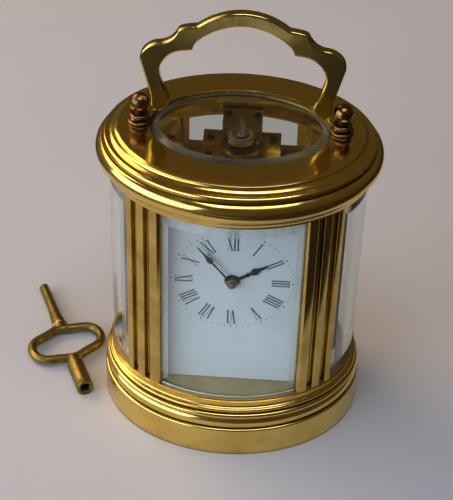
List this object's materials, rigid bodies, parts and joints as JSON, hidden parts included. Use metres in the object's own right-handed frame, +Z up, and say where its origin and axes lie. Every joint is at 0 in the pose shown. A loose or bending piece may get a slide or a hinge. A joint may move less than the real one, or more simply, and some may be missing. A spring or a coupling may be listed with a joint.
{
  "type": "carriage clock",
  "caption": "Oval brass carriage clock with glazed sides, fluted pilasters, swinging handle, hinged back door, platform escapement and a double-ended winding key.",
  "frame": {"origin": "centre of the face that the base stands on", "axes": "+Z up, the dial faces -Y, +X to the right as the dial is read"},
  "size_m": [0.1118, 0.0743, 0.1382],
  "materials": {
    "case_brass": "polished and lacquered",
    "handle_brass": "polished, slightly rubbed",
    "clear_glass": "polished, bevelled",
    "dial_enamel": "white enamel, gloss",
    "hand_steel": "blued almost black",
    "key_brass": "dulled",
    "movement_brass": "fine grained",
    "balance_gold": "polished gilt",
    "blued_steel": "blued",
    "polished_steel": "polished",
    "ruby": "polished synthetic ruby"
  },
  "bodies": {
    "root": {"base_moulding": "case_brass", "base_cover": "case_brass", "top_moulding": "case_brass", "pilaster_front_left": "case_brass", "pilaster_front_right": "case_brass", "pilaster_back_left": "case_brass", "pilaster_back_right": "case_brass", "front_glass": "clear_glass", "right_glass": "clear_glass", "left_glass": "clear_glass", "top_glass": "clear_glass", "case_screws": "blued_steel", "door_hinge_pins": "polished_steel", "handle_post_left": "handle_brass", "handle_post_right": "handle_brass", "handle_pivot_screws": "blued_steel", "dial_plate": "dial_enamel", "minute_stud": "polished_steel", "front_plate": "movement_brass", "back_plate": "movement_brass", "plate_pillars": "movement_brass", "plate_screws": "blued_steel", "movement_screws": "blued_steel", "click_screw": "blued_steel", "click_spring": "polished_steel", "platform_plate": "movement_brass", "platform_screws": "blued_steel", "balance_cock": "movement_brass", "lever_cock": "movement_brass", "escape_cock": "movement_brass", "escape_bracket": "movement_brass", "hairspring": "blued_steel", "hairspring_stud": "polished_steel", "balance_jewel": "ruby"},
    "handle": {"handle": "handle_brass"},
    "door": {"door_frame": "case_brass", "door_glass": "clear_glass", "door_knob": "handle_brass"},
    "minute_hand_arbor": {"centre_arbor": "polished_steel", "cannon_pinion": "polished_steel", "minute_hand": "hand_steel"},
    "minute_work": {"minute_wheel": "movement_brass"},
    "hour_work": {"hour_wheel": "movement_brass", "hour_hand": "hand_steel"},
    "centre_train": {"centre_wheel": "movement_brass"},
    "third_train": {"third_wheel": "movement_brass"},
    "contrate_train": {"contrate_wheel": "movement_brass"},
    "barrel_drum": {"barrel": "movement_brass", "barrel_cover": "movement_brass", "mainspring": "polished_steel"},
    "winding_arbor": {"barrel_arbor": "polished_steel", "ratchet_wheel": "polished_steel"},
    "click_arm": {"click": "polished_steel"},
    "escape_arbor": {"escape_wheel": "movement_brass"},
    "lever": {"pallet_lever": "polished_steel"},
    "balance": {"balance_wheel": "balance_gold", "balance_staff": "polished_steel"},
    "index": {"regulator_index": "polished_steel"},
    "key": {"winding_key": "key_brass"}
  },
  "joints": [
    {"name": "handle_swing", "type": "hinge", "parent": "root", "child": "handle", "pos_m": [0, 0, 0.1072], "axis": [1, 0, 0], "range_deg": [-98, 98]},
    {"name": "door_swing", "type": "hinge", "parent": "root", "child": "door", "pos_m": [-0.01853, 0.02592, 0.05], "axis": [0, 0, 1], "range_deg": [0, 96]},
    {"name": "set_hands", "type": "hinge", "parent": "root", "child": "minute_hand_arbor", "pos_m": [0, -0.0204, 0.0606], "axis": [0, 1, 0], "continuous": true},
    {"name": "minute_wheel_turn", "type": "hinge", "parent": "root", "child": "minute_work", "pos_m": [0, -0.014, 0.0522], "axis": [0, 1, 0], "continuous": true},
    {"name": "hour_hand_turn", "type": "hinge", "parent": "root", "child": "hour_work", "pos_m": [0, -0.0204, 0.0606], "axis": [0, 1, 0], "continuous": true},
    {"name": "contrate_wheel_turn", "type": "hinge", "parent": "root", "child": "contrate_train", "pos_m": [0.0045, 0, 0.07064], "axis": [0, 1, 0], "continuous": true},
    {"name": "third_wheel_turn", "type": "hinge", "parent": "root", "child": "third_train", "pos_m": [0.01063, 0, 0.06249], "axis": [0, 1, 0], "continuous": true},
    {"name": "centre_wheel_turn", "type": "hinge", "parent": "root", "child": "centre_train", "pos_m": [0, 0, 0.0606], "axis": [0, 1, 0], "continuous": true},
    {"name": "barrel_turn", "type": "hinge", "parent": "root", "child": "barrel_drum", "pos_m": [0, 0, 0.0426], "axis": [0, 1, 0], "continuous": true},
    {"name": "escape_wheel_turn", "type": "hinge", "parent": "root", "child": "escape_arbor", "pos_m": [0.0045, 0.0005, 0.082], "axis": [0, 0, 1], "continuous": true},
    {"name": "winding_turn", "type": "hinge", "parent": "root", "child": "winding_arbor", "pos_m": [0, 0, 0.0426], "axis": [0, -1, 0], "range_deg": [0, 1440]},
    {"name": "click_lift", "type": "hinge", "parent": "root", "child": "click_arm", "pos_m": [-0.0067, 0.0196, 0.0501], "axis": [0, 1, 0], "range_deg": [0, 5], "stiffness_Nm_per_rad": 0.0004, "springref_deg": -5.73},
    {"name": "lever_swing", "type": "hinge", "parent": "root", "child": "lever", "pos_m": [0.00211, 0.00485, 0.082], "axis": [0, 0, 1], "range_deg": [-4, 4]},
    {"name": "balance_swing", "type": "hinge", "parent": "root", "child": "balance", "pos_m": [0, 0.0087, 0.082], "axis": [0, 0, 1], "range_deg": [-150, 150], "stiffness_Nm_per_rad": 0.00001},
    {"name": "index_turn", "type": "hinge", "parent": "root", "child": "index", "pos_m": [0, 0.0087, 0.09], "axis": [0, 0, 1], "range_deg": [-12, 12]},
    {"name": "key_lift", "type": "slide", "parent": "root", "child": "key", "axis": [0, 0, 1], "range_m": [0, 0.12]}
  ],
  "couplings": [
    {"joint": "minute_wheel_turn", "follows": "set_hands", "ratio": -0.33333},
    {"joint": "hour_hand_turn", "follows": "set_hands", "ratio": 0.083333},
    {"joint": "third_wheel_turn", "follows": "contrate_wheel_turn", "ratio": -0.13333},
    {"joint": "centre_wheel_turn", "follows": "contrate_wheel_turn", "ratio": 0.016667},
    {"joint": "barrel_turn", "follows": "contrate_wheel_turn", "ratio": -0.0020833},
    {"joint": "escape_wheel_turn", "follows": "contrate_wheel_turn", "ratio": 9}
  ]
}
